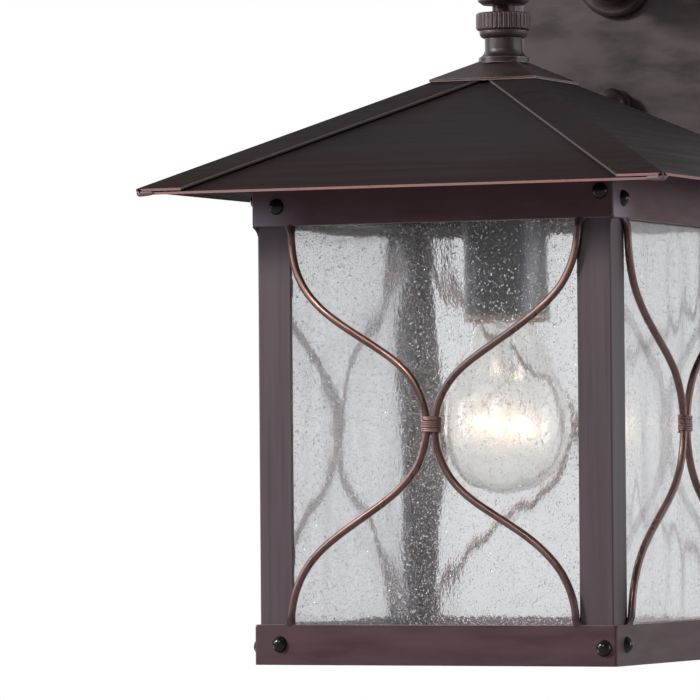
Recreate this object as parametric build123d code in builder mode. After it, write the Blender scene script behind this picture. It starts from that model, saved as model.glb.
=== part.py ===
from build123d import *
import math
import os

os.makedirs("parts", exist_ok=True)

# ---------------------------------------------------------------------------
# Wall lantern.  Millimetres, +Z up.  Origin: middle of the backplate's wall
# face.  The wall is the plane Y = 0 and the lantern hangs in front of it (-Y).
# Heights on the lantern proper are given from the middle of the side openings,
# which lies lamp_drop below the origin.
# ---------------------------------------------------------------------------

# placing
axis_y = -155.0          # lantern's vertical axis, from the wall
lamp_drop = 215.0        # origin down to the middle of the side openings

# cage
half = 85.0              # outer faces of the posts, from the axis
leg = 16.0               # width of each leg of a post
post_t = 2.0             # post material
open_top = 89.5          # upper edge of the openings
open_bot = -88.5         # lower edge of the openings
band_t = 2.0             # collar and bottom rail material
collar_top = 121.9
rail_h = 18.0
rail_flange = 13.0
post_top = 117.0

# rivets, two on each side: (distance along the side, height)
collar_rivet_at = ((-74.7, 98.3), (80.9, 101.2))
rail_rivet_at = ((-74.7, -97.2), (80.9, -98.4))
shank_r = 1.6
rivet_r = 3.7
rivet_h = 2.9

# glass
pane_t = 3.0
pane_face = half - post_t - 0.2      # outer face of each pane, from the axis
pane_half_w = 77.5
pane_top = 95.0

# roof: pitch 1 in 2
pitch = 0.5
roof_apex = 168.8        # where the outer faces meet
roof_half = 125.6        # outer faces at the eaves, from the axis
sheet = 1.2
lap_gap = 0.6            # between the lapped sheets
lap = 21.9               # lap, measured along the eaves

# bent wires
wire_r = 1.5
wire_plane = half + wire_r
knot_half = 1.8          # half distance of the two wire centres at the knot
wrap_r = 0.55
wrap_turns = 7
wrap_pitch = 1.2

# socket and bulb
cup_r = 20.0
cup_bot = 47.5
cup_top = 104.0
stem_r = 5.1
stem_bore = 3.5
bulb_r = 30.0
bulb_c = -1.0
glass_t = 0.8
base_pitch = 3.63

# arm
arm_r = 8.0
arm_wall = 1.5
arm_lift = 35.0          # height of the arch's centre above the origin
arm_back = 70.0          # the arm's rising leg, from the wall
arm_bend = 30.0

# backplate
plate_w, plate_h = 120.0, 200.0
plate_depth = 14.0
plate_wall = 2.0
gasket_t = 1.5
stud_z = 60.0
stud_r = 2.1
box_spacing = 88.9       # outlet box screws

Z0 = -lamp_drop
SIDES = {"front": 0, "right": 1, "rear": 2, "left": 3}
CORNERS = {"front_left": (-1, -1), "front_right": (1, -1),
           "rear_left": (-1, 1), "rear_right": (1, 1)}
D45 = math.sqrt(0.5)


def around(k, out, along, z=0.0):
    """A point on side k: distance out from the axis, distance along it."""
    q = math.radians(90 * k)
    x = along * math.cos(q) + out * math.sin(q)
    y = along * math.sin(q) - out * math.cos(q)
    return (x, axis_y + y, Z0 + z)


def turned(k, out, along):
    """A level direction on side k."""
    q = math.radians(90 * k)
    return (along * math.cos(q) + out * math.sin(q),
            along * math.sin(q) - out * math.cos(q), 0.0)


def side_plane(k, out, along=0.0, z=0.0):
    """Upright plane on side k, facing out: local x along the side, local y up."""
    return Plane(origin=around(k, out, along, z), x_dir=turned(k, 0, 1),
                 z_dir=turned(k, 1, 0))


def level(z, x=0.0, y=0.0):
    """Level plane centred on the lantern's axis."""
    return Plane(origin=(x, axis_y + y, Z0 + z), x_dir=(1, 0, 0), z_dir=(0, 0, 1))


def diagonal(sx, sy, out, z):
    """Upright plane through a corner: local x points out along the diagonal."""
    return Plane(origin=(sx * out, axis_y + sy * out, Z0 + z),
                 x_dir=(sx * D45, sy * D45, 0), z_dir=(sy * D45, -sx * D45, 0))


def section():
    """Half section through the axis: local x is the radius, local y is height."""
    return Plane(origin=(0, axis_y, Z0), x_dir=(1, 0, 0), z_dir=(0, -1, 0))


def wall_plane(dist, z=0.0):
    """Upright plane 'dist' in front of the wall, facing the room."""
    return Plane(origin=(0, -dist, z), x_dir=(1, 0, 0), z_dir=(0, -1, 0))


def save(builder, label):
    builder.part.label = label
    export_step(builder.part, f"parts/{label}.step")


lamp_axis = Axis((0, axis_y, Z0), (0, 0, 1))
band_out = half + band_t
rail_floor = open_bot - rail_h + band_t       # upper face of the rail's flange

# ---------------------------------------------------------------------------
# Corner posts: angle section with an eased outer corner, drilled for rivets
# ---------------------------------------------------------------------------
for cname, (sx, sy) in CORNERS.items():
    with BuildPart() as post:
        with BuildSketch(level(rail_floor)):
            with BuildLine():
                Polyline((sx * half, sy * half), (sx * (half - leg), sy * half),
                         (sx * (half - leg), sy * (half - post_t)),
                         (sx * (half - post_t), sy * (half - post_t)),
                         (sx * (half - post_t), sy * (half - leg)),
                         (sx * half, sy * (half - leg)), close=True)
            make_face()
        extrude(amount=post_top - rail_floor)
        outer = [e for e in post.edges().filter_by(Axis.Z)
                 if abs(abs(e.center().X) - half) < 0.01
                 and abs(abs(e.center().Y - axis_y) - half) < 0.01]
        fillet(outer, radius=0.8)
        ends = [e for e in post.edges().filter_by(Axis.Z)
                if (abs(abs(e.center().X) - (half - leg)) < 0.01
                    and abs(abs(e.center().Y - axis_y) - half) < 0.01)
                or (abs(abs(e.center().X) - half) < 0.01
                    and abs(abs(e.center().Y - axis_y) - (half - leg)) < 0.01)]
        fillet(ends, radius=0.3)
        for k in range(4):
            for a, z in collar_rivet_at + rail_rivet_at:
                p = around(k, half, a, z)
                if p[0] * sx > 60 and (p[1] - axis_y) * sy > 60:
                    with Locations(side_plane(k, half, a, z)):
                        Cylinder(radius=shank_r + 0.05, height=2 * post_t + 1, mode=Mode.SUBTRACT)
    save(post, f"post_{cname}")


# ---------------------------------------------------------------------------
# Collar and bottom rail: bands round the posts, corners eased towards them
# ---------------------------------------------------------------------------
def upright_corners(builder):
    return [e for e in builder.edges().filter_by(Axis.Z)
            if abs(abs(e.center().X) - band_out) < 0.01
            and abs(abs(e.center().Y - axis_y) - band_out) < 0.01]


def outer_edges(group):
    return [e for e in group
            if max(abs(e.center().X), abs(e.center().Y - axis_y)) > band_out - 0.02]


ease_h, ease_in = 2.8, 1.25        # height and depth (on the diagonal) of the eased corner

with BuildPart() as collar:
    with BuildSketch(level(open_top)):
        Rectangle(2 * band_out, 2 * band_out)
        Rectangle(2 * half, 2 * half, mode=Mode.SUBTRACT)
    extrude(amount=collar_top - open_top)
    fillet(upright_corners(collar), radius=1.4)
    for sx, sy in CORNERS.values():
        with BuildSketch(diagonal(sx, sy, band_out, open_top)):
            with BuildLine():
                Polyline((0.0, ease_h), (-2 * ease_in, -ease_h), (4.0, -ease_h), (4.0, ease_h),
                         close=True)
            make_face()
        extrude(amount=8.0, both=True, mode=Mode.SUBTRACT)
    for k in range(4):
        for a, z in collar_rivet_at:
            with Locations(side_plane(k, band_out, a, z)):
                Cylinder(radius=shank_r + 0.05, height=2 * band_t + 1, mode=Mode.SUBTRACT)
    chamfer(outer_edges(collar.edges().group_by(Axis.Z)[0]), length=0.35)
save(collar, "collar")

with BuildPart() as bottom_rail:
    with BuildSketch(level(open_bot - rail_h)):
        Rectangle(2 * band_out, 2 * band_out)
        Rectangle(2 * half, 2 * half, mode=Mode.SUBTRACT)
    extrude(amount=rail_h)
    with BuildSketch(level(open_bot - rail_h)):
        Rectangle(2 * half, 2 * half)
        Rectangle(2 * (half - rail_flange), 2 * (half - rail_flange), mode=Mode.SUBTRACT)
    extrude(amount=band_t)
    fillet(upright_corners(bottom_rail), radius=1.4)
    for sx, sy in CORNERS.values():
        with BuildSketch(diagonal(sx, sy, band_out, open_bot)):
            with BuildLine():
                Polyline((0.0, -ease_h), (-2 * ease_in, ease_h), (4.0, ease_h), (4.0, -ease_h),
                         close=True)
            make_face()
        extrude(amount=8.0, both=True, mode=Mode.SUBTRACT)
    for k in range(4):
        for a, z in rail_rivet_at:
            with Locations(side_plane(k, band_out, a, z)):
                Cylinder(radius=shank_r + 0.05, height=2 * band_t + 1, mode=Mode.SUBTRACT)
    chamfer(outer_edges(bottom_rail.edges().group_by(Axis.Z)[-1]), length=0.35)
save(bottom_rail, "bottom_rail")


def rivet_row(label, places, tail):
    """Dome rivets through the band and the post; 'tail' is the set head inside."""
    through = band_t + post_t
    with BuildPart() as row:
        for k in range(4):
            for a, z in places:
                o = around(k, band_out, a, z)
                out_dir, along_dir = turned(k, 1, 0), turned(k, 0, 1)
                with BuildSketch(Plane(origin=o, x_dir=out_dir,
                                       z_dir=tuple(-c for c in along_dir))):
                    with BuildLine():
                        Line((-through - tail, 0), (rivet_h, 0))
                        Spline((rivet_h, 0), (rivet_h * 0.81, rivet_r * 0.57), (0.0, rivet_r),
                               tangents=((0, 1), (-1, 0.25)))
                        Line((0.0, rivet_r), (0.0, shank_r))
                        Line((0.0, shank_r), (-through, shank_r))
                        if tail > 0:
                            Polyline((-through, shank_r), (-through, 2.0),
                                     (-through - 0.6 * tail, 1.9), (-through - tail, 1.2),
                                     (-through - tail, 0))
                        else:
                            Line((-through, shank_r), (-through, 0))
                    make_face()
                revolve(axis=Axis(o, out_dir))
    save(row, label)


rivet_row("collar_rivets", collar_rivet_at, 1.0)
rivet_row("rail_rivets", rail_rivet_at, 0.0)

# ---------------------------------------------------------------------------
# Glass panes, standing on the bottom rail's flange
# ---------------------------------------------------------------------------
for sname, k in SIDES.items():
    with BuildPart() as pane:
        with BuildSketch(side_plane(k, pane_face - pane_t, 0.0, (pane_top + rail_floor) / 2)):
            Rectangle(2 * pane_half_w, pane_top - rail_floor)
        extrude(amount=pane_t)
        chamfer(pane.edges(), length=0.3)
    save(pane, f"glass_{sname}")

# bent tabs in the corners, two to a post
tab_in = pane_face - pane_t - 0.1
tab_t = 0.8
post_in = half - post_t
with BuildPart() as glass_tabs:
    for zt in (-62.0, 58.0):
        for sx, sy in CORNERS.values():
            with BuildSketch(level(zt)):
                with BuildLine():
                    Polyline((sx * 70.0, sy * tab_in), (sx * 70.0, sy * (tab_in - tab_t)),
                             (sx * (tab_in - tab_t), sy * (tab_in - tab_t)),
                             (sx * (tab_in - tab_t), sy * 70.0), (sx * tab_in, sy * 70.0),
                             (sx * tab_in, sy * (tab_in - 0.4)),
                             (sx * post_in, sy * (post_in - 1.6)),
                             (sx * post_in, sy * post_in),
                             (sx * (post_in - 1.6), sy * post_in),
                             (sx * (tab_in - 0.4), sy * tab_in), close=True)
                make_face()
            extrude(amount=8.0)
save(glass_tabs, "glass_tabs")

# ---------------------------------------------------------------------------
# Bent wires: tangent arcs from the knot out to the post, as (radius, angle from
# upright at the arc's end), then a straight run, then arcs back to upright
# ---------------------------------------------------------------------------
upper = dict(out=((30.4, 24.2), (46.1, 59.0)), run=25.45, back=((52.4, 26.8), (38.8, 0.0)))
lower = dict(out=((35.2, 7.6), (39.3, 55.9)), run=34.6, back=((48.9, 35.0), (42.6, 0.0)))


def wire_path(shape, s, v):
    """Pieces of one half of a wire, from the knot to its end.  s: side of the
    knot (-1, 1); v: up (1) or down (-1)."""
    pieces = []
    state = [knot_half, 0.0, 0.0]

    def arc(radius, to_deg):
        x, z, a = state
        b = math.radians(to_deg)
        m = (a + b) / 2
        g = 1 if b > a else -1
        at = [(x + g * radius * (math.cos(a) - math.cos(t)),
               z + g * radius * (math.sin(t) - math.sin(a))) for t in (a, m, b)]
        pieces.append(at)
        state[0], state[1], state[2] = at[2][0], at[2][1], b

    for radius, to_deg in shape["out"]:
        arc(radius, to_deg)
    x, z, a = state
    x2, z2 = x + shape["run"] * math.sin(a), z + shape["run"] * math.cos(a)
    pieces.append([(x, z), (x2, z2)])
    state[0], state[1] = x2, z2
    for radius, to_deg in shape["back"]:
        arc(radius, to_deg)
    end = open_top if v > 0 else -open_bot
    pieces.append([(state[0], state[1]), (state[0], end)])
    return [[(s * px, v * pz) for px, pz in piece] for piece in pieces]


WIRE_NAMES = {"front": {-1: "left", 1: "right"}, "right": {-1: "front", 1: "rear"},
              "rear": {-1: "right", 1: "left"}, "left": {-1: "rear", 1: "front"}}
for sname, k in SIDES.items():
    for s in (-1, 1):
        with BuildPart() as wire:
            for v, shape in ((1, upper), (-1, lower)):
                with BuildLine(side_plane(k, wire_plane)) as path:
                    for piece in wire_path(shape, s, v):
                        if len(piece) == 2:
                            Line(*piece)
                        else:
                            ThreePointArc(*piece)
                with BuildSketch(Plane(origin=around(k, wire_plane, s * knot_half, 0.0),
                                       x_dir=turned(k, 0, 1), z_dir=(0, 0, v))):
                    Circle(wire_r)
                sweep(path=path.wires()[0])
        save(wire, f"scroll_{sname}_{WIRE_NAMES[sname][s]}")
last = wire_path(upper, 1, 1)[-1], wire_path(lower, 1, -1)[-1]
print("wire ends", [[round(c, 2) for c in p] for piece in last for p in piece])

# wire wraps: touching turns round both wires
wrap_len = (wrap_turns - 1) * wrap_pitch + 2 * wrap_r
slot_sep, slot_h = 2 * 2.12, 2 * (wire_r + 0.04)
for sname, k in SIDES.items():
    with BuildPart() as wrap:
        z = -wrap_len / 2
        base = Plane(origin=around(k, wire_plane, 0.0, z), x_dir=turned(k, 0, 1), z_dir=(0, 0, 1))
        with BuildSketch(base):
            SlotCenterToCenter(slot_sep, slot_h + 1.2)
            SlotCenterToCenter(slot_sep, slot_h, mode=Mode.SUBTRACT)
        extrude(amount=wrap_len)
        for i in range(wrap_turns):
            z = -wrap_len / 2 + i * wrap_pitch + 0.2
            ring = Plane(origin=around(k, wire_plane, 0.0, z), x_dir=turned(k, 0, 1),
                         z_dir=(0, 0, 1))
            with BuildSketch(ring):
                SlotCenterToCenter(slot_sep, slot_h + 2.1)
                SlotCenterToCenter(slot_sep, slot_h + 0.6, mode=Mode.SUBTRACT)
            extrude(amount=0.7)
    save(wrap, f"wrap_{sname}")

# ---------------------------------------------------------------------------
# Roof
# ---------------------------------------------------------------------------
slope = math.atan(pitch)
ca, sa = math.cos(slope), math.sin(slope)
s_eave = roof_half / ca                # down the slope, apex to eaves
s_top = 9.5 / ca                       # the panels stop round the stem


def roof_plane(k, depth):
    """Plane of side k's roof slope, 'depth' under the outer face.  Local x runs
    along the eaves, local y runs up the slope; the normal points outwards."""
    n_out = turned(k, sa, 0)
    n = (n_out[0], n_out[1], ca)
    o = around(k, 0, 0, roof_apex)
    return Plane(origin=(o[0] - depth * n[0], o[1] - depth * n[1], o[2] - depth * n[2]),
                 x_dir=turned(k, 0, 1), z_dir=n)


# front and rear sheets: their sloping edges lie under the flanges
under = 2 * sheet + lap_gap
s_clip = s_eave - 5.0


def under_half(s):
    return s * ca - under * sa - 0.4


for sname in ("front", "rear"):
    k = SIDES[sname]
    with BuildPart() as panel:
        with BuildSketch(roof_plane(k, sheet + lap_gap)):
            with BuildLine():
                Polyline((-under_half(s_top + 3), -(s_top + 3)), (under_half(s_top + 3), -(s_top + 3)),
                         (under_half(s_clip), -s_clip), (under_half(s_clip), -s_eave),
                         (-under_half(s_clip), -s_eave), (-under_half(s_clip), -s_clip), close=True)
            make_face()
        extrude(amount=-sheet)
    save(panel, f"roof_{sname}")

# left and right sheets, each with a flange bent over both hips
s_meet = (lap + 0.8) / ca
for sname in ("left", "right"):
    k = SIDES[sname]
    side = 1 if sname == "right" else -1
    with BuildPart() as panel:
        with BuildSketch(roof_plane(k, 0.0)):
            with BuildLine():
                Polyline((-s_top * ca, -s_top), (s_top * ca, -s_top),
                         (s_eave * ca, -s_eave), (-s_eave * ca, -s_eave), close=True)
            make_face()
        extrude(amount=-sheet)
        for nk, sgn in ((SIDES["front"], 1), (SIDES["rear"], -1)):
            u = side * sgn
            with BuildSketch(roof_plane(nk, 0.0)):
                with BuildLine():
                    Polyline((u * s_eave * ca, -s_eave), (u * (s_eave * ca - lap), -s_eave),
                             (u * 0.8, -s_meet), (u * 0.8, -s_top), (u * s_top * ca, -s_top),
                             close=True)
                make_face()
            extrude(amount=-sheet)
        # brazed, rounded tips that close the lap at the eaves
        for nk, sgn in ((SIDES["front"], 1), (SIDES["rear"], -1)):
            u = side * sgn
            o = around(nk, roof_half - 2.6, u * (roof_half - 2.6), roof_apex - pitch * (roof_half - 2.6) - 1.9)
            d = turned(nk, 1, u)
            with BuildSketch(Plane(origin=(o[0] - 1.6 * d[0], o[1] - 1.6 * d[1], o[2] + 0.8),
                                   z_dir=(d[0], d[1], -pitch))):
                Circle(1.75)
            extrude(amount=5.2)
    save(panel, f"roof_{sname}")
    print(f"roof_{sname}", len(panel.solids()), "solids", round(panel.part.volume), panel.part.bounding_box())

# cap over the apex: a small pressed pyramid with a turned neck
cap_half = 26.0
cap_lift = 0.3 / ca
cap_t = 1.2 / ca
neck_top = 180.0
with BuildPart() as roof_cap:
    z_low = roof_apex - pitch * cap_half + cap_lift
    z_high = roof_apex - 3.0 + cap_lift
    with BuildSketch(level(z_low)):
        Rectangle(2 * cap_half, 2 * cap_half)
    extrude(amount=cap_t * 0.8)
    with BuildSketch(level(z_low + cap_t * 0.8)):
        Rectangle(2 * cap_half, 2 * cap_half)
    with BuildSketch(level(z_high + cap_t * 0.8)):
        Rectangle(12.0, 12.0)
    loft()
    with BuildSketch(level(z_low)):
        Rectangle(2 * cap_half, 2 * cap_half)
    with BuildSketch(level(z_high)):
        Rectangle(12.0, 12.0)
    loft(mode=Mode.SUBTRACT)
    with BuildSketch(section()):
        with BuildLine():
            Polyline((0, roof_apex - 3.5), (11.5, roof_apex - 3.5), (11.5, roof_apex - 1.0))
            RadiusArc((11.5, roof_apex - 1.0), (8.6, roof_apex + 2.8), 4.4)
            Line((8.6, roof_apex + 2.8), (8.6, neck_top - 3.4))
            RadiusArc((8.6, neck_top - 3.4), (11.0, neck_top - 1.2), -2.6)
            Polyline((11.0, neck_top - 1.2), (11.0, neck_top), (0, neck_top), (0, roof_apex - 3.5))
        make_face()
    revolve(axis=lamp_axis)
    with BuildSketch(level(roof_apex - 8.0)):
        Circle(stem_r + 0.25)
    extrude(amount=neck_top - roof_apex + 10.0, mode=Mode.SUBTRACT)
save(roof_cap, "roof_cap")

# knurled ring that clamps the cap and the roof down
ring_z = neck_top + 0.3
ring_h = 8.0
with BuildPart() as lock_ring:
    with BuildSketch(level(ring_z)):
        Circle(12.6)
        Circle(stem_r + 0.05, mode=Mode.SUBTRACT)
    extrude(amount=ring_h)
    chamfer([e for e in lock_ring.edges().filter_by(GeomType.CIRCLE) if e.radius > 10], length=0.9)
    knurl = [level(ring_z - 0.5, 12.95 * math.cos(math.radians(10 * i)),
                   12.95 * math.sin(math.radians(10 * i))) for i in range(36)]
    with Locations(*knurl):
        Cylinder(radius=0.75, height=ring_h + 1.0,
                 align=(Align.CENTER, Align.CENTER, Align.MIN), mode=Mode.SUBTRACT)
save(lock_ring, "lock_ring")

# ---------------------------------------------------------------------------
# Stem, bridge and nuts
# ---------------------------------------------------------------------------
coupling_bot = 192.0
coupling_top = 209.0
tube_end = 200.0
stem_low = 93.0
bridge_z = 112.5
bridge_t = 3.0
with BuildPart() as stem:
    with BuildSketch(level(stem_low)):
        Circle(stem_r)
        Circle(stem_bore, mode=Mode.SUBTRACT)
    extrude(amount=tube_end - stem_low)
    chamfer([e for e in stem.edges().filter_by(GeomType.CIRCLE) if e.radius > 4.5], length=0.5)
save(stem, "stem")

with BuildPart() as bridge:
    with BuildSketch(level(bridge_z)):
        Rectangle(2 * half, 20.0)
    extrude(amount=bridge_t)
    for s in (-1, 1):
        with BuildSketch(level(bridge_z, s * (half - bridge_t / 2))):
            Rectangle(bridge_t, 20.0)
        extrude(amount=-12.0)
    bends = [e for e in bridge.edges().filter_by(Axis.Y)
             if abs(abs(e.center().X) - half) < 0.01 and e.center().Z > Z0 + bridge_z + 1]
    fillet(bends, radius=2.5)
    with BuildSketch(level(bridge_z)):
        Circle(stem_r + 0.2)
    extrude(amount=bridge_t, mode=Mode.SUBTRACT)
save(bridge, "bridge")

with BuildPart() as stem_nuts:
    for z, h in ((bridge_z - 4.5, 4.5), (bridge_z + bridge_t, 4.0), (cup_top, 3.4),
                 (cup_top - 1.2 - 3.8, 3.8)):
        with BuildSketch(level(z)):
            RegularPolygon(radius=8.2, side_count=6)
            Circle(stem_r, mode=Mode.SUBTRACT)
        extrude(amount=h)
save(stem_nuts, "stem_nuts")

# ---------------------------------------------------------------------------
# Socket
# ---------------------------------------------------------------------------
with BuildPart() as socket_cup:
    with BuildSketch(section()):
        with BuildLine():
            Line((stem_r + 0.1, cup_top), (cup_r - 7, cup_top))
            RadiusArc((cup_r - 7, cup_top), (cup_r - 0.4, cup_top - 7), 7.2)
            Polyline((cup_r - 0.4, cup_top - 7), (cup_r, cup_bot + 1.2),
                     (cup_r + 0.35, cup_bot + 0.6), (cup_r + 0.2, cup_bot),
                     (cup_r - 1.0, cup_bot), (cup_r - 1.4, cup_top - 7.2))
            RadiusArc((cup_r - 1.4, cup_top - 7.2), (cup_r - 7.2, cup_top - 1.2), -6.0)
            Polyline((cup_r - 7.2, cup_top - 1.2), (stem_r + 0.1, cup_top - 1.2),
                     (stem_r + 0.1, cup_top))
        make_face()
    revolve(axis=lamp_axis)
save(socket_cup, "socket_cup")

with BuildPart() as socket_body:
    with BuildSketch(section()):
        with BuildLine():
            Polyline((0, 84.6), (0, 93.0), (stem_r, 93.0), (stem_r, 96.0), (10.0, 96.0),
                     (15.5, 92.5), (17.4, 88.0), (17.4, 54.6), (16.8, 54.0), (14.8, 54.0),
                     (14.3, 54.6), (14.3, 84.6), close=True)
        make_face()
    revolve(axis=lamp_axis)
    for s in (-1, 1):
        with Locations(level(92.0, s * 9.0)):
            Cylinder(radius=1.55, height=10.0, mode=Mode.SUBTRACT)
save(socket_body, "socket_body")

# screw shells: rolled thread of the socket round that of the bulb
crest, root = 13.1, 12.35
thread_low, thread_turns = 58.0, 5
play = 0.42
shell_t = 0.5


def thread(add):
    pts = []
    for i in range(thread_turns):
        z = thread_low + i * base_pitch
        pts += [(root + add, z), (crest + add, z + base_pitch / 2)]
    pts.append((root + add, thread_low + thread_turns * base_pitch))
    return pts


thread_high = thread_low + thread_turns * base_pitch
with BuildPart() as socket_shell:
    inner = [(13.7, 55.0), (13.7, 57.0)] + thread(play) + [(13.3, thread_high + 1.2), (13.3, 83.9)]
    outer_pts = [(14.2, 84.4), (13.9, thread_high + 1.2)] + \
        [(r + shell_t, z) for r, z in reversed(thread(play))] + [(14.2, 57.0), (14.2, 55.0)]
    with BuildSketch(section()):
        with BuildLine():
            Polyline(*inner, (6.0, 83.9), (6.0, 84.4), *outer_pts, close=True)
        make_face()
    revolve(axis=lamp_axis)
save(socket_shell, "socket_shell")

# sprung centre contact
with BuildPart() as centre_contact:
    with BuildSketch(level(82.7)):
        Rectangle(7.0, 4.0)
    extrude(amount=0.6)
    with BuildSketch(level(83.3, 2.6)):
        Rectangle(1.4, 4.0)
    extrude(amount=1.3)
save(centre_contact, "centre_contact")

with BuildPart() as terminal_screws:
    for s in (-1, 1):
        with BuildSketch(level(87.5, s * 9.0)):
            Circle(1.5)
        extrude(amount=8.5)
        with BuildSketch(level(96.0, s * 9.0)):
            Circle(3.0)
        extrude(amount=1.8)
        with BuildSketch(level(97.1, s * 9.0)):
            Rectangle(0.8, 7.0)
        extrude(amount=1.0, mode=Mode.SUBTRACT)
save(terminal_screws, "terminal_screws")

# ---------------------------------------------------------------------------
# Bulb, cap up
# ---------------------------------------------------------------------------
neck_r = 12.4
neck_top_z = 56.8
outline = ((neck_r, 54.6), (13.3, 50.4), (15.4, 44.0), (18.7, 34.5), (23.6, 23.5), (28.2, 11.5),
           (bulb_r, bulb_c))
inline = ((neck_r - 0.8, 54.6), (12.5, 50.3), (14.63, 43.8), (17.96, 34.2), (22.88, 23.15),
          (27.44, 11.25), (bulb_r - glass_t, bulb_c))
with BuildPart() as bulb_glass:
    with BuildSketch(section()):
        with BuildLine():
            Line((neck_r, neck_top_z), outline[0])
            Spline(*outline, tangents=((0, -1), (0, -1)))
            RadiusArc((bulb_r, bulb_c), (0, bulb_c - bulb_r), bulb_r)
            Line((0, bulb_c - bulb_r), (0, bulb_c - bulb_r + glass_t))
            RadiusArc((0, bulb_c - bulb_r + glass_t), inline[-1], -(bulb_r - glass_t))
            Spline(*reversed(inline), tangents=((0, 1), (0, 1)))
            Line(inline[0], (neck_r - 0.8, neck_top_z))
            Line((neck_r - 0.8, neck_top_z), (neck_r, neck_top_z))
        make_face()
    revolve(axis=lamp_axis)
save(bulb_glass, "bulb_glass")

with BuildPart() as bulb_base:
    pts = [(12.45, 53.6), (12.95, 53.6), (12.95, 57.0)] + thread(0.0) + \
        [(10.6, 78.3), (5.3, 79.5), (5.3, 78.9), (10.2, 77.7), (11.6, 76.0), (11.6, 57.6),
         (12.45, 57.0)]
    with BuildSketch(section()):
        with BuildLine():
            Polyline(*pts, close=True)
        make_face()
    revolve(axis=lamp_axis)
save(bulb_base, "bulb_base")

with BuildPart() as bulb_insulator:
    with BuildSketch(section()):
        with BuildLine():
            Polyline((0, 78.2), (4.6, 78.2), (5.3, 78.9), (5.3, 79.5), (4.8, 81.0), (0, 81.0),
                     close=True)
        make_face()
    revolve(axis=lamp_axis)
save(bulb_insulator, "bulb_insulator")

with BuildPart() as bulb_contact:
    with BuildSketch(section()):
        with BuildLine():
            Polyline((0, 81.0), (4.0, 81.0), (3.6, 81.9), (1.6, 82.3), (0, 82.3), close=True)
        make_face()
    revolve(axis=lamp_axis)
save(bulb_contact, "bulb_contact")

# wires that carry the filament
fil_z = 3.0
fil_half = 12.0
press_low, press_high = 24.5, 37.0
with BuildPart() as bulb_leads:
    for s in (-1, 1):
        with BuildLine(section()) as lead:
            FilletPolyline((s * 1.7, press_low + 4.0), (s * 1.9, press_low - 4.0),
                           (s * (fil_half - 1.0), fil_z + 5.0), (s * fil_half, fil_z - 0.9),
                           radius=2.0)
        w = lead.wires()[0]
        with BuildSketch(Plane(origin=w.position_at(0), z_dir=w.tangent_at(0))):
            Circle(0.35)
        sweep(path=w)
    with BuildSketch(level(fil_z - 1.9)):
        Circle(0.25)
    extrude(amount=press_low + 3.0 - fil_z + 1.9)
save(bulb_leads, "bulb_leads")

# glass mount: flare, tube and flat press round the wires
with BuildPart() as bulb_stem:
    with BuildSketch(section()):
        with BuildLine():
            Polyline((0, press_high - 2.0), (2.6, press_high - 2.0), (3.6, press_high + 2.0),
                     (3.9, 45.0), (5.4, 50.5), (9.0, 55.0), (11.5, 56.0), (11.5, 57.0),
                     (8.4, 56.0), (4.6, 51.2), (3.0, 45.0), (0, 44.0), close=True)
        make_face()
    revolve(axis=lamp_axis)
    with BuildSketch(level(press_low)):
        RectangleRounded(6.8, 3.0, 1.2)
    extrude(amount=press_high - press_low)
    add(bulb_leads.part, mode=Mode.SUBTRACT)
save(bulb_stem, "bulb_stem")

with BuildPart() as filament:
    with BuildLine(section()) as fpath:
        ThreePointArc((-fil_half + 0.4, fil_z - 0.5), (0, fil_z - 2.2), (fil_half - 0.4, fil_z - 0.5))
    w = fpath.wires()[0]
    with BuildSketch(Plane(origin=w.position_at(0), z_dir=w.tangent_at(0))):
        Circle(0.4)
    sweep(path=w)
    add(bulb_leads.part, mode=Mode.SUBTRACT)
save(filament, "filament")
print("filament solids", len(filament.solids()), "leads", len(bulb_leads.solids()))

# ---------------------------------------------------------------------------
# Arm: a tube bent in a crook, all in the plane X = 0
# ---------------------------------------------------------------------------
arch_r = (abs(axis_y) - arm_back) / 2
arm_start = -(plate_depth + 2.0)
side_view = Plane(origin=(0, 0, 0), x_dir=(0, 1, 0), z_dir=(1, 0, 0))
with BuildPart() as arm_tube:
    with BuildLine(side_view) as arm_path:
        Line((arm_start, 0), (-(arm_back - arm_bend), 0))
        JernArc((-(arm_back - arm_bend), 0), (-1, 0), arm_bend, -90)
        Line((-arm_back, arm_bend), (-arm_back, arm_lift))
        ThreePointArc((-arm_back, arm_lift), (-(arm_back + arch_r), arm_lift + arch_r),
                      (axis_y, arm_lift))
        Line((axis_y, arm_lift), (axis_y, Z0 + tube_end))
    w = arm_path.wires()[0]
    with BuildSketch(wall_plane(-arm_start)):
        Circle(arm_r)
        Circle(arm_r - arm_wall, mode=Mode.SUBTRACT)
    sweep(path=w)
save(arm_tube, "arm_tube")
print("arm length", round(w.length, 1), "bend radii", arm_bend, arch_r)

with BuildPart() as arm_coupling:
    with BuildSketch(section()):
        with BuildLine():
            Polyline((stem_r, coupling_bot), (9.5, coupling_bot), (11.6, coupling_bot + 1.6),
                     (11.6, coupling_bot + 5.0), (10.6, coupling_bot + 6.2),
                     (10.6, coupling_top - 3.6), (11.4, coupling_top - 2.6), (11.4, coupling_top - 1.2),
                     (10.6, coupling_top), (arm_r, coupling_top), (arm_r, tube_end),
                     (stem_r, tube_end), close=True)
        make_face()
    revolve(axis=lamp_axis)
save(arm_coupling, "arm_coupling")

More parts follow.
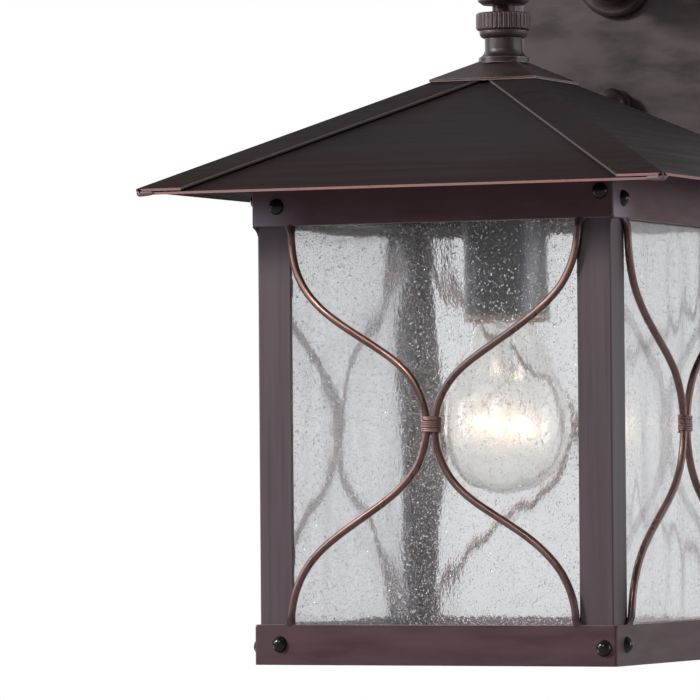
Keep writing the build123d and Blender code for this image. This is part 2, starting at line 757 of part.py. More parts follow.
# turned flange on the plate, with the threaded end that its nut draws tight
with BuildPart() as arm_flange:
    with BuildSketch(Plane(origin=(0, 0, 0), x_dir=(0, -1, 0), z_dir=(1, 0, 0))):
        f0 = plate_depth
        with BuildLine():
            Polyline((f0, stem_r), (f0, 19.0), (f0 + 2.0, 19.0))
            ThreePointArc((f0 + 2.0, 19.0), (f0 + 4.0, 18.2), (f0 + 4.8, 16.2))
            ThreePointArc((f0 + 4.8, 16.2), (f0 + 7.0, 12.2), (f0 + 11.0, 10.4))
            Polyline((f0 + 11.0, 10.4), (f0 + 14.0, 10.4), (f0 + 14.0, arm_r), (f0 + 2.0, arm_r),
                     (f0 + 2.0, stem_bore), (2.6, stem_bore), (2.6, stem_r), (f0, stem_r))
        make_face()
    revolve(axis=Axis((0, 0, 0), (0, 1, 0)))
save(arm_flange, "arm_flange")

with BuildPart() as arm_nut:
    with BuildSketch(wall_plane(plate_depth - plate_wall - 4.5)):
        RegularPolygon(radius=8.6, side_count=6)
        Circle(stem_r, mode=Mode.SUBTRACT)
    extrude(amount=4.5)
save(arm_nut, "arm_nut")

# ---------------------------------------------------------------------------
# Backplate: a stepped pressing, its gasket, bracket, studs and cap nuts
# ---------------------------------------------------------------------------
with BuildPart() as backplate:
    with BuildSketch(wall_plane(gasket_t)):
        RectangleRounded(plate_w, plate_h, 5.0)
    extrude(amount=6.0)
    fillet(backplate.faces().sort_by(Axis.Y)[0].edges(), radius=2.4)
    with BuildSketch(wall_plane(gasket_t + 4.0)):
        RectangleRounded(plate_w - 18.0, plate_h - 18.0, 4.0)
    extrude(amount=plate_depth - gasket_t - 4.0)
    fillet(backplate.faces().sort_by(Axis.Y)[0].edges(), radius=3.0)
    with BuildSketch(wall_plane(gasket_t)):
        RectangleRounded(plate_w - 8.0, plate_h - 8.0, 3.0)
    extrude(amount=4.0, mode=Mode.SUBTRACT)
    with BuildSketch(wall_plane(gasket_t)):
        RectangleRounded(plate_w - 24.0, plate_h - 24.0, 3.0)
    extrude(amount=plate_depth - plate_wall - gasket_t, mode=Mode.SUBTRACT)
    with Locations(wall_plane(plate_depth)):
        Cylinder(radius=stem_r + 0.15, height=8.0, mode=Mode.SUBTRACT)
    with Locations(wall_plane(plate_depth, stud_z), wall_plane(plate_depth, -stud_z)):
        Cylinder(radius=stud_r + 0.3, height=8.0, mode=Mode.SUBTRACT)
save(backplate, "backplate")

with BuildPart() as wall_gasket:
    with BuildSketch(wall_plane(0.0)):
        RectangleRounded(plate_w - 1.0, plate_h - 1.0, 4.5)
        RectangleRounded(plate_w - 8.0, plate_h - 8.0, 3.0, mode=Mode.SUBTRACT)
    extrude(amount=gasket_t)
save(wall_gasket, "wall_gasket")

bar_t = 1.6
with BuildPart() as mounting_bracket:
    with BuildSketch(wall_plane(0.0)):
        RectangleRounded(22.0, 140.0, 4.0)
        with Locations((0, box_spacing / 2), (0, -box_spacing / 2)):
            Circle(2.3, mode=Mode.SUBTRACT)
        with Locations((0, stud_z), (0, -stud_z)):
            Circle(stud_r, mode=Mode.SUBTRACT)
        with Locations((0, 24.0)):
            Circle(2.0, mode=Mode.SUBTRACT)
    extrude(amount=bar_t)
save(mounting_bracket, "mounting_bracket")

with BuildPart() as bracket_studs:
    for s in (-1, 1):
        with Locations(wall_plane(0.0, s * stud_z)):
            Cylinder(radius=stud_r, height=22.5, align=(Align.CENTER, Align.CENTER, Align.MIN))
save(bracket_studs, "bracket_studs")

with BuildPart() as ground_screw:
    with Locations(wall_plane(0.0, 24.0)):
        Cylinder(radius=2.0, height=bar_t, align=(Align.CENTER, Align.CENTER, Align.MIN))
    with Locations(wall_plane(bar_t, 24.0)):
        Cylinder(radius=3.8, height=2.4, align=(Align.CENTER, Align.CENTER, Align.MIN))
    with Locations(wall_plane(bar_t + 2.4, 24.0)):
        Box(8.0, 0.9, 1.6, mode=Mode.SUBTRACT)
save(ground_screw, "ground_screw")

nut_y = plate_depth + 0.3
for nname, s in (("cap_nut_upper", 1), ("cap_nut_lower", -1)):
    with BuildPart() as cap_nut:
        with BuildSketch(Plane(origin=(0, -nut_y, s * stud_z), x_dir=(0, -1, 0), z_dir=(1, 0, 0))):
            with BuildLine():
                Polyline((9.5, 0), (9.5, stud_r + 0.05), (0, stud_r + 0.05), (0, 6.8), (1.4, 6.8),
                         (2.0, 6.2), (2.6, 4.6), (3.4, 4.6))
                Spline((3.4, 4.6), (5.2, 6.2), (8.2, 6.9), (11.4, 5.3), (13.4, 2.6), (14.5, 0),
                       tangents=((0.6, 0.8), (0.2, -1)))
                Line((14.5, 0), (9.5, 0))
            make_face()
        revolve(axis=Axis((0, 0, s * stud_z), (0, 1, 0)))
    save(cap_nut, nname)
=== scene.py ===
import math
import random

import bmesh
import bpy
from mathutils import Matrix, Vector, noise


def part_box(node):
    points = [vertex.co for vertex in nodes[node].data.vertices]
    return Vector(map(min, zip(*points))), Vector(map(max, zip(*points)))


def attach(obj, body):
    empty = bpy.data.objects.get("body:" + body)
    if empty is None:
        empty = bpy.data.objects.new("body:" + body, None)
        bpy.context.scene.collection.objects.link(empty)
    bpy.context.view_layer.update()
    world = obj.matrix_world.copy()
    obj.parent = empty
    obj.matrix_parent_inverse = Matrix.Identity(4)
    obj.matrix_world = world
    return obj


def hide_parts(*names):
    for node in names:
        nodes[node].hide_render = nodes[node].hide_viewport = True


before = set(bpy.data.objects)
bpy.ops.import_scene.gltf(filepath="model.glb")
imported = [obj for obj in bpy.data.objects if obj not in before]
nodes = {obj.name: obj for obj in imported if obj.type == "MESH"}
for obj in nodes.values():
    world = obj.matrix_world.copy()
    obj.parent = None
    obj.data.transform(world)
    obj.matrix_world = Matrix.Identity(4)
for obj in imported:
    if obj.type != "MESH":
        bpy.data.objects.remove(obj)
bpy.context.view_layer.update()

MM = 0.001
AX_Y, Z0 = -155.0, -215.0          # the lantern's axis and the middle of its openings, mm
scene = bpy.context.scene


def P(x, y, z):
    """Millimetres from the lantern's own middle, as metres in the row frame."""
    return Vector((x * MM, (y + AX_Y) * MM, (z + Z0) * MM))


# ---------------------------------------------------------------------------
# Camera: the photograph's own viewing angle, distance and framing
# ---------------------------------------------------------------------------
th, ph, ro = 0.4206, 0.0238, -0.0080
fwd = Vector((-math.sin(th) * math.cos(ph), math.cos(th) * math.cos(ph), math.sin(ph)))
right = Vector((math.cos(th), math.sin(th), 0.0))
up = right.cross(fwd)
cam_x = math.cos(ro) * right + math.sin(ro) * up
cam_y = -math.sin(ro) * right + math.cos(ro) * up
cam_data = bpy.data.cameras.new("camera")
cam = bpy.data.objects.new("camera", cam_data)
scene.collection.objects.link(cam)
m = Matrix.Identity(4)
for i, axis in enumerate((cam_x, cam_y, -fwd)):
    m[0][i], m[1][i], m[2][i] = axis
m.translation = P(1019.56, -2453.79, -28.10)
cam.matrix_world = m
cam_data.sensor_width = 36.0
cam_data.lens = 299.96
cam_data.clip_start, cam_data.clip_end = 0.05, 500.0
scene.camera = cam


# ---------------------------------------------------------------------------
# Node helpers
# ---------------------------------------------------------------------------
class Tree:
    def __init__(self, name):
        self.mat = bpy.data.materials.new(name)
        self.mat.use_nodes = True
        self.t = self.mat.node_tree
        self.t.nodes.clear()
        self.out = self.add("ShaderNodeOutputMaterial")
        self.coord = self.add("ShaderNodeTexCoord")
        self.geo = self.add("ShaderNodeNewGeometry")

    def add(self, kind, **props):
        n = self.t.nodes.new(kind)
        for k, v in props.items():
            setattr(n, k, v)
        return n

    def link(self, a, b):
        self.t.links.new(a, b)

    def put(self, socket, value):
        if isinstance(value, bpy.types.NodeSocket):
            self.link(value, socket)
        else:
            socket.default_value = value

    def math(self, op, a, b=0.0, c=None, clamp=False):
        n = self.add("ShaderNodeMath", operation=op, use_clamp=clamp)
        self.put(n.inputs[0], a)
        self.put(n.inputs[1], b)
        if c is not None:
            self.put(n.inputs[2], c)
        return n.outputs[0]

    def stretched(self, scale):
        n = self.add("ShaderNodeMapping")
        self.link(self.coord.outputs["Object"], n.inputs["Vector"])
        n.inputs["Scale"].default_value = scale
        return n.outputs["Vector"]

    def noise(self, scale, detail=4.0, rough=0.55, vector=None, distort=0.0):
        n = self.add("ShaderNodeTexNoise")
        n.inputs["Scale"].default_value = scale
        n.inputs["Detail"].default_value = detail
        n.inputs["Roughness"].default_value = rough
        n.inputs["Distortion"].default_value = distort
        self.link(vector or self.coord.outputs["Object"], n.inputs["Vector"])
        return n.outputs["Fac"]

    def voronoi(self, scale, vector=None, feature="F1"):
        n = self.add("ShaderNodeTexVoronoi", feature=feature)
        n.inputs["Scale"].default_value = scale
        self.link(vector or self.coord.outputs["Object"], n.inputs["Vector"])
        return n.outputs["Distance"]

    def ramp(self, fac, stops):
        n = self.add("ShaderNodeValToRGB")
        e = n.color_ramp.elements
        while len(e) < len(stops):
            e.new(0.5)
        for el, (pos, col) in zip(e, stops):
            el.position = pos
            el.color = (*col, 1.0) if len(col) == 3 else col
        self.link(fac, n.inputs["Fac"])
        return n.outputs["Color"]

    def fit(self, fac, lo, hi, a=0.0, b=1.0):
        n = self.add("ShaderNodeMapRange", interpolation_type="SMOOTHSTEP")
        self.link(fac, n.inputs["Value"])
        n.inputs["From Min"].default_value = lo
        n.inputs["From Max"].default_value = hi
        n.inputs["To Min"].default_value = a
        n.inputs["To Max"].default_value = b
        return n.outputs["Result"]

    def mix(self, fac, a, b):
        n = self.add("ShaderNodeMix", data_type="RGBA")
        self.put(n.inputs["Factor"], fac)
        self.put(n.inputs[6], (*a, 1.0) if isinstance(a, tuple) and len(a) == 3 else a)
        self.put(n.inputs[7], (*b, 1.0) if isinstance(b, tuple) and len(b) == 3 else b)
        return n.outputs[2]

    def dot(self, v, direction):
        n = self.add("ShaderNodeVectorMath", operation="DOT_PRODUCT")
        self.link(v, n.inputs[0])
        n.inputs[1].default_value = direction
        return n.outputs["Value"]

    def bump(self, height, strength, distance, normal=None):
        n = self.add("ShaderNodeBump")
        n.inputs["Strength"].default_value = strength
        n.inputs["Distance"].default_value = distance
        self.link(height, n.inputs["Height"])
        if normal is not None:
            self.link(normal, n.inputs["Normal"])
        return n.outputs["Normal"]

    def principled(self, color, rough, metallic=0.0, normal=None, **more):
        n = self.add("ShaderNodeBsdfPrincipled")
        if isinstance(color, tuple) and len(color) == 3:
            color = (*color, 1.0)
        self.put(n.inputs["Base Color"], color)
        self.put(n.inputs["Roughness"], rough)
        self.put(n.inputs["Metallic"], metallic)
        if normal is not None:
            self.link(normal, n.inputs["Normal"])
        for k, v in more.items():
            n.inputs[k].default_value = v
        return n

    def finish(self, shader):
        self.link(shader, self.out.inputs["Surface"])
        return self.mat


def bronze(name, dark, warm, rub_and_highlight, brush, rough=(0.40, 0.56), metallic=0.15, rubbed_and_highlit=(), spec=0.5,
           tones=(), dull_and_shade=None):
    """Burnished bronze.  dark and warm are mixed by long brushed streaks (brush is
    the mapping scale), rub_and_highlight is the colour of bare metal and of painted highlights;
    rubbed_and_highlit is a list of masks as functions of the tree, each giving a socket that is 1
    where the metal is bare and where a highlight is painted.  tones may hold painted light and
    shade besides tints; dull_and_shade mixes in a dark colour, partly a brazed finish and partly painted shade,
    and dulls the metal."""
    t = Tree(name)
    streak = t.noise(1.0, 6.0, 0.62, t.stretched(brush))
    cloud = t.noise(14.0, 3.0, 0.5)
    grain = t.noise(420.0, 3.0, 0.6)
    f = t.math("ADD", t.math("MULTIPLY", streak, 0.75), t.math("MULTIPLY", cloud, 0.35))
    col = t.ramp(f, ((0.38, dark), (0.56, tuple((a + b) / 2 for a, b in zip(dark, warm))), (0.74, warm)))
    speck = t.fit(grain, 0.62, 0.8)
    col = t.mix(t.math("MULTIPLY", speck, 0.25), col, warm)
    for make, shade in tones:
        col = t.mix(make(t), col, shade)
    bare_and_highlit = None
    for make in rubbed_and_highlit:
        s = make(t)
        bare_and_highlit = s if bare_and_highlit is None else t.math("MAXIMUM", bare_and_highlit, s)
    r = t.fit(streak, 0.3, 0.7, rough[0], rough[1])
    h = t.math("ADD", t.math("MULTIPLY", streak, 0.6), t.math("MULTIPLY", grain, 0.4))
    n = t.bump(h, 0.25, 0.00012)
    if bare_and_highlit is not None:
        rag = t.fit(t.noise(160.0, 4.0, 0.7), 0.2, 0.45, 0.35, 1.0)
        bare_and_highlit = t.math("MULTIPLY", bare_and_highlit, rag)
        col = t.mix(bare_and_highlit, col, rub_and_highlight)
        r = t.math("SUBTRACT", r, t.math("MULTIPLY", bare_and_highlit, 0.12))
    if dull_and_shade is not None:
        mask, shade = dull_and_shade
        m_ = mask(t)
        col = t.mix(m_, col, shade)
        metallic = t.math("MULTIPLY", t.math("SUBTRACT", 1.0, t.math("MULTIPLY", m_, 0.8)), metallic)
        r = t.math("ADD", r, t.math("MULTIPLY", m_, 0.14))
    sh = t.principled(col, r, metallic, n, **{"Specular IOR Level": spec})
    return t.finish(sh.outputs[0])


def facing(direction, lo, hi):
    d = Vector(direction).normalized()

    def make(t):
        return t.fit(t.dot(t.geo.outputs["Normal"], tuple(d)), lo, hi)
    return make


def band(direction, offset, width, soft=0.3, amount=1.0):
    """Mask: within 'width' (mm) of the plane direction . p = offset (mm, lantern frame)."""
    d = Vector(direction)

    def make(t):
        at = t.dot(t.geo.outputs["Position"], tuple(d))
        off = offset * MM + d.y * AX_Y * MM + d.z * Z0 * MM
        dist = t.math("ABSOLUTE", t.math("SUBTRACT", at, off))
        return t.fit(dist, width * MM * soft, width * MM, amount, 0.0)
    return make


def worn(radius, amount, lo=0.80, hi=0.985):
    """Mask: the arrises, found by comparing the rounded and the true normal."""
    def make(t):
        b = t.add("ShaderNodeBevel", samples=6)
        b.inputs["Radius"].default_value = radius * MM
        n = t.add("ShaderNodeVectorMath", operation="DOT_PRODUCT")
        t.link(b.outputs["Normal"], n.inputs[0])
        t.link(t.geo.outputs["Normal"], n.inputs[1])
        return t.fit(n.outputs["Value"], lo, hi, amount, 0.0)
    return make


def heights(lo, hi, amount=1.0):
    """Mask: rises from lo to hi (mm, lantern frame); falls where hi is the lower."""
    def make(t):
        at = t.dot(t.geo.outputs["Position"], (0.0, 0.0, 1.0))
        if hi > lo:
            return t.fit(at, (lo + Z0) * MM, (hi + Z0) * MM, 0.0, amount)
        return t.fit(at, (hi + Z0) * MM, (lo + Z0) * MM, amount, 0.0)
    return make


def across(lo, hi, amount=1.0):
    """Mask: rises along X from lo to hi (mm)."""
    def make(t):
        return t.fit(t.dot(t.geo.outputs["Position"], (1.0, 0.0, 0.0)), lo * MM, hi * MM, 0.0, amount)
    return make


def left_end_painted_light(t):
    """Mask: the lower part of the left end of each face of a square band, where a pale bluish light is painted."""
    p = t.add("ShaderNodeSeparateXYZ")
    t.link(t.geo.outputs["Position"], p.inputs[0])
    n = t.add("ShaderNodeSeparateXYZ")
    t.link(t.geo.outputs["Normal"], n.inputs[0])
    y = t.math("SUBTRACT", p.outputs["Y"], AX_Y * MM)
    along = t.math("SUBTRACT", t.math("MULTIPLY", p.outputs["X"], n.outputs["Y"]),
                   t.math("MULTIPLY", y, n.outputs["X"]))
    side = t.fit(along, 56.0 * MM, 85.0 * MM)
    low = t.fit(p.outputs["Z"], (88.0 + Z0) * MM, (108.0 + Z0) * MM, 1.0, 0.0)
    return t.math("MULTIPLY", t.math("MULTIPLY", side, low), 0.85)


COPPER = (0.36, 0.200, 0.182)
# SEAM: the pale arris colour, partly rubbed metal and partly a painted highlight
SEAM = (0.20, 0.165, 0.168)
DARK = (0.011, 0.0095, 0.0105)
WARM = (0.022, 0.0125, 0.0140)
EAVE = (0.016, 0.0066, 0.0076)

slope = math.atan(0.5)
ca, sa = math.cos(slope), math.sin(slope)
DIRS = {"front": (0, -1), "right": (1, 0), "rear": (0, 1), "left": (-1, 0)}

roof_mats = {}
for s, (dx, dy) in DIRS.items():
    along_x = s in ("front", "rear")
    brush = (9.0, 60.0, 420.0) if along_x else (60.0, 9.0, 420.0)
    down = (dx * ca, dy * ca, -sa)
    masks = [facing(down, 0.93, 0.99)]
    seams = []
    if s in ("left", "right"):
        for fy in (-1, 1):
            masks.append(facing((0, fy * ca, -sa), 0.93, 0.99))
            # the upper arris of the flange that laps over the front or rear sheet: a pale line, partly rubbed
            # metal and partly a painted highlight, set stronger on the left sheet
            seams.append((band((dx * 0.70711, -fy * 0.70711, 0), -15.49, 0.42, 0.45, 0.8 if s == "left" else 0.5), SEAM))
    # the front sheet is painted lighter and greyer towards its right, a painted sheen
    roof_mats[s] = bronze(f"roof_{s}_bronze", DARK, WARM, COPPER, brush, rough=(0.52, 0.7), rubbed_and_highlit=masks,
                          spec={"left": 0.12, "front": 0.125}.get(s, 0.17),
                          tones=([(across(-50.0, 60.0, 0.7), (0.030, 0.0235, 0.0250))] if s == "front" else [])
                          + [(heights(128.0, 106.0, 0.8), EAVE)] + seams)

collar_masks = [band((0, 0, 1), 89.5, 0.3, 0.3, 0.55)]
# the collar: painted shade darkening its top under the eave, and painted pale bluish light at the lower left end
# of each face
collar_mats = {
    "x": bronze("collar_bronze", (0.064, 0.028, 0.035), (0.103, 0.046, 0.058), (0.26, 0.20, 0.21),
                (30.0, 30.0, 160.0), rubbed_and_highlit=collar_masks, spec=0.35,
                tones=[(heights(112.0, 122.0, 0.55), (0.030, 0.012, 0.013)), (left_end_painted_light, (0.245, 0.212, 0.262))])}
rail_mat = bronze("rail_bronze", (0.050, 0.021, 0.026), (0.072, 0.032, 0.039), (0.30, 0.22, 0.22),
                  (30.0, 30.0, 160.0), rubbed_and_highlit=[band((0, 0, 1), -88.5, 0.3, 0.3, 0.55)], spec=0.4)
post_mat = bronze("post_bronze", (0.056, 0.038, 0.046), (0.070, 0.048, 0.057), (0.3, 0.22, 0.21),
                  (260.0, 260.0, 7.0), rough=(0.4, 0.55))
plain_mat = bronze("arm_bronze", (0.017, 0.012, 0.013), (0.050, 0.027, 0.029), (0.42, 0.25, 0.22),
                   (34.0, 34.0, 90.0), rough=(0.34, 0.52), rubbed_and_highlit=[worn(0.7, 0.75)])
def brazed_end_and_eave_shade(t):
    """Mask: the last millimetres of a wire at either end, dulled to the collar's dark finish where it is brazed;
    at the top this also paints the shade under the eave.
    """
    at = t.dot(t.geo.outputs["Position"], (0.0, 0.0, 1.0))
    return t.fit(t.math("ABSOLUTE", t.math("SUBTRACT", at, (Z0 + 0.5) * MM)), 81.0 * MM, 86.5 * MM)


def crown_painted_highlight(t):
    """Mask: a painted highlight along the crown of the wires that fall to the right, and on the front of their
    steep upper part under the collar.
    """
    crown = t.fit(t.dot(t.geo.outputs["Normal"], (0.336, -0.854, 0.398)), 0.945, 0.995)
    crown = t.math("MULTIPLY", crown, heights(-10.0, 22.0, 0.75)(t))
    upright = t.fit(t.dot(t.geo.outputs["Normal"], (0.0, -0.995, 0.10)), 0.93, 0.99)
    upright = t.math("MULTIPLY", upright, heights(42.0, 58.0, 0.75)(t))
    return t.math("MAXIMUM", crown, t.math("MULTIPLY", upright, heights(82.0, 77.0)(t)))


def shaded_crown(t):
    """Mask: the crown of the upper wires that fall to the left, painted dark as shade that takes out their
    highlight.
    """
    crown = t.fit(t.dot(t.geo.outputs["Normal"], (-0.30, -0.86, 0.41)), 0.86, 0.97)
    return t.math("MULTIPLY", crown, heights(-2.0, 8.0, 0.85)(t))


# the wire ends dulled to the brazed finish with painted eave shade at the top, and the painted shade on the crowns
def dull_ends_and_painted_shade(t):
    return t.math("MAXIMUM", brazed_end_and_eave_shade(t), t.math("MULTIPLY", shaded_crown(t), 0.8))


# the wires: a painted highlight along some crowns, painted shade on the others, and the brazed ends dulled with
# painted eave shade at the top
wire_mat = bronze("wire_bronze", (0.100, 0.054, 0.049), (0.19, 0.103, 0.092), (0.80, 0.44, 0.35),
                  (90.0, 90.0, 20.0), rough=(0.24, 0.36), metallic=0.6, spec=0.5, rubbed_and_highlit=[crown_painted_highlight],
                  tones=[(shaded_crown, (0.062, 0.040, 0.038))], dull_and_shade=(dull_ends_and_painted_shade, (0.048, 0.024, 0.031)))
wrap_mat = bronze("wrap_bronze", (0.11, 0.06, 0.053), (0.24, 0.14, 0.12), (0.62, 0.36, 0.27),
                  (200.0, 200.0, 60.0), rough=(0.26, 0.38), metallic=0.7, spec=0.5)
# rivet heads: near black, with a painted highlight on their lower left
rivet_mat = bronze("rivet_bronze", (0.007, 0.006, 0.006), (0.014, 0.011, 0.011), (0.10, 0.095, 0.09),
                   (200.0, 200.0, 200.0), rough=(0.17, 0.25), metallic=0.1, spec=0.32,
                   rubbed_and_highlit=[facing((-0.55, -0.76, -0.34), 0.955, 0.995)])
cup_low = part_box("socket_cup")[0][2] / MM - Z0
# the cup: a warm band painted along its lower edge as the filament's light on the lip
cup_mat = bronze("cup_bronze", (0.12, 0.116, 0.120), (0.18, 0.172, 0.176), (0.62, 0.44, 0.36),
                 (30.0, 30.0, 200.0), rough=(0.3, 0.42), metallic=0.5,
                 rubbed_and_highlit=[band((0, 0, 1), cup_low, 3.0, 0.5, 0.9)])
braze_mat = bronze("corner_braze", (0.13, 0.082, 0.082), (0.20, 0.13, 0.13), COPPER,
                   (120.0, 120.0, 120.0), rough=(0.45, 0.6), spec=0.25)


def plated(name, a, b, rough=(0.25, 0.4), scale=90.0, metallic=1.0):
    t = Tree(name)
    f = t.noise(scale, 5.0, 0.6)
    fine = t.noise(scale * 9, 3.0, 0.6)
    col = t.ramp(f, ((0.35, a), (0.7, b)))
    r = t.fit(f, 0.3, 0.7, *rough)
    sh = t.principled(col, r, metallic, t.bump(fine, 0.2, 0.00005))
    return t.finish(sh.outputs[0])


zinc_mat = plated("zinc_plate", (0.52, 0.52, 0.50), (0.66, 0.66, 0.64))
t = Tree("stem_zinc")
f = t.noise(90.0, 5.0, 0.6)
above = t.fit(t.dot(t.geo.outputs["Position"], (0.0, 0.0, 1.0)), (160.0 + Z0) * MM, (163.0 + Z0) * MM)
sh = t.principled(t.mix(above, t.ramp(f, ((0.35, (0.52, 0.52, 0.50)), (0.7, (0.66, 0.66, 0.64)))),
                        t.ramp(f, ((0.35, (0.024, 0.015, 0.015)), (0.7, (0.05, 0.03, 0.03))))),
                  t.fit(f, 0.3, 0.7, 0.3, 0.45), 0.9, t.bump(t.noise(800.0, 3.0, 0.6), 0.2, 0.00005))
stem_mat = t.finish(sh.outputs[0])
brass_mat = plated("brass_sheet", (0.62, 0.42, 0.18), (0.80, 0.58, 0.28))
alu_mat = plated("cap_aluminium", (0.66, 0.66, 0.66), (0.8, 0.8, 0.8), (0.3, 0.45))
solder_mat = plated("solder_tin", (0.42, 0.42, 0.42), (0.58, 0.58, 0.58), (0.4, 0.55))
nickel_mat = plated("nickel_wire", (0.5, 0.48, 0.44), (0.66, 0.63, 0.58), (0.25, 0.4), 400.0)
green_mat = plated("green_zinc", (0.02, 0.20, 0.07), (0.04, 0.34, 0.12), (0.3, 0.45), 200.0, 0.7)

t = Tree("porcelain_glaze")
glaze = t.noise(60.0, 3.0, 0.5)
sh = t.principled(t.ramp(glaze, ((0.3, (0.74, 0.72, 0.67)), (0.7, (0.84, 0.83, 0.79)))),
                  t.fit(glaze, 0.3, 0.7, 0.12, 0.22), 0.0, t.bump(glaze, 0.1, 0.0002))
porcelain_mat = t.finish(sh.outputs[0])

t = Tree("black_vitrite")
vit = t.noise(220.0, 3.0, 0.5)
sh = t.principled(t.ramp(vit, ((0.3, (0.008, 0.008, 0.011)), (0.7, (0.02, 0.02, 0.026)))),
                  t.fit(vit, 0.3, 0.7, 0.15, 0.3), 0.0, t.bump(vit, 0.2, 0.0001))
vitrite_mat = t.finish(sh.outputs[0])

t = Tree("gasket_foam")
foam = t.voronoi(900.0)
sh = t.principled(t.ramp(foam, ((0.1, (0.012, 0.012, 0.013)), (0.6, (0.035, 0.035, 0.037)))),
                  t.fit(foam, 0.1, 0.6, 0.8, 0.95), 0.0, t.bump(foam, 0.6, 0.0003))
foam_mat = t.finish(sh.outputs[0])


def clear_glass(name, tint, waves, rough=0.0, haze=0.0, painted_shade_top=None):
    """Clear glass with bumps by nodes; lamp rays pass so that what is inside is lit.
    haze is the share of light that a faint film on the glass spreads."""
    t = Tree(name)
    normal = waves(t)
    g = t.add("ShaderNodeBsdfPrincipled")
    g.inputs["Base Color"].default_value = (*tint, 1.0)
    if painted_shade_top is not None:                     # painted shade: the tint deepens towards the top
        t.link(t.mix(heights(-30.0, 90.0)(t), tint, painted_shade_top), g.inputs["Base Color"])
    g.inputs["Roughness"].default_value = rough
    g.inputs["IOR"].default_value = 1.47
    g.inputs["Transmission Weight"].default_value = 1.0
    if normal is not None:
        t.link(normal, g.inputs["Normal"])
    if haze:
        film = t.add("ShaderNodeBsdfPrincipled")
        film.inputs["Base Color"].default_value = (*tint, 1.0)
        film.inputs["Roughness"].default_value = 0.34
        film.inputs["IOR"].default_value = 1.47
        film.inputs["Transmission Weight"].default_value = 1.0
        both = t.add("ShaderNodeMixShader")
        both.inputs[0].default_value = haze
        t.link(g.outputs[0], both.inputs[1])
        t.link(film.outputs[0], both.inputs[2])
        g = both
    path = t.add("ShaderNodeLightPath")
    clear = t.add("ShaderNodeBsdfTransparent")
    clear.inputs["Color"].default_value = (*tint, 1.0)
    mixer = t.add("ShaderNodeMixShader")
    t.link(path.outputs["Is Shadow Ray"], mixer.inputs[0])
    t.link(g.outputs[0], mixer.inputs[1])
    t.link(clear.outputs[0], mixer.inputs[2])
    return t.finish(mixer.outputs[0])


def pane_waves(t):
    ripple = t.noise(1.0, 1.0, 0.4, t.stretched((150.0, 150.0, 45.0)))
    fine = t.noise(1.0, 2.0, 0.5, t.stretched((800.0, 800.0, 420.0)))
    pits = t.fit(t.voronoi(850.0), 0.02, 0.18, 1.0, 0.0)
    first = t.bump(ripple, 1.0, 0.00006)
    second = t.bump(fine, 1.0, 0.00003, first)
    grit = t.fit(t.voronoi(1500.0), 0.02, 0.16, 1.0, 0.0)
    third = t.bump(grit, 1.0, 0.00016, second)
    return t.bump(pits, 1.0, 0.00032, third)


def bulb_waves(t):
    return t.bump(t.noise(60.0, 2.0, 0.5), 0.06, 0.0004)


pane_mats = {"front": clear_glass("seeded_glass", (0.972, 0.979, 0.984), pane_waves, haze=0.11)}
pane_mats["rear"] = pane_mats["front"]
# the side panes: the same glass painted darker as shade, deepening further towards the top
pane_mats["left"] = clear_glass("seeded_glass_sides_painted_shade", (0.84, 0.847, 0.853), pane_waves, haze=0.11,
                                painted_shade_top=(0.775, 0.782, 0.79))
pane_mats["right"] = pane_mats["left"]
bulb_mat = clear_glass("bulb_clear_glass", (0.995, 0.99, 0.98), bulb_waves, haze=0.04)
stem_glass_mat = clear_glass("stem_glass", (0.97, 0.975, 0.97),
                             lambda t: t.bump(t.noise(240.0, 3.0, 0.5), 0.35, 0.0006))

t = Tree("lit_tungsten")
hot = t.noise(700.0, 2.0, 0.5)
em = t.add("ShaderNodeBsdfPrincipled")
em.inputs["Base Color"].default_value = (0.2, 0.19, 0.18, 1.0)
em.inputs["Roughness"].default_value = 0.5
em.inputs["Metallic"].default_value = 1.0
t.link(t.ramp(hot, ((0.2, (1.0, 0.66, 0.34)), (0.8, (1.0, 0.76, 0.46)))), em.inputs["Emission Color"])
em.inputs["Emission Strength"].default_value = 80.0
hot_mat = t.finish(em.outputs[0])


# ---------------------------------------------------------------------------
# Mesh helpers
# ---------------------------------------------------------------------------
def make_object(name, verts, faces, mat, body, stands_for=(), smooth=True):
    mesh = bpy.data.meshes.new(name)
    mesh.from_pydata([tuple(v) for v in verts], [], faces)
    mesh.validate()
    mesh.update()
    if smooth:
        mesh.shade_smooth()
    obj = bpy.data.objects.new(name, mesh)
    scene.collection.objects.link(obj)
    mesh.materials.append(mat)
    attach(obj, body)
    if stands_for:
        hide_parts(*stands_for)
    return obj


def tube(points, radius, sides=12, closed=False, taper=None, flat_ends=False):
    """Vertices and faces of a round tube along points (metres)."""
    n = len(points)
    verts, faces = [], []
    tang = []
    for i in range(n):
        a = points[(i - 1) % n] if (closed or i > 0) else points[0]
        b = points[(i + 1) % n] if (closed or i < n - 1) else points[-1]
        tang.append((b - a).normalized())
    ref = Vector((0, 0, 1)) if abs(tang[0].z) < 0.9 else Vector((1, 0, 0))
    side = tang[0].cross(ref).normalized()
    for i in range(n):
        side = (side - tang[i] * side.dot(tang[i])).normalized()
        other = tang[i].cross(side)
        r = radius * (taper(i / (n - 1)) if taper else 1.0)
        for k in range(sides):
            a = 2 * math.pi * k / sides
            verts.append(points[i] + r * (math.cos(a) * side + math.sin(a) * other))
    for i in range(n if closed else n - 1):
        j = (i + 1) % n
        for k in range(sides):
            l = (k + 1) % sides
            faces.append((i * sides + k, i * sides + l, j * sides + l, j * sides + k))
    if not closed:
        a, b = len(verts), len(verts) + 1
        verts.append(points[0] - tang[0] * radius * (0.0 if flat_ends else 0.5))
        verts.append(points[-1] + tang[-1] * radius * (0.0 if flat_ends else 0.5))
        for k in range(sides):
            l = (k + 1) % sides
            faces.append((a, l, k))
            faces.append((b, (n - 1) * sides + k, (n - 1) * sides + l))
    return verts, faces


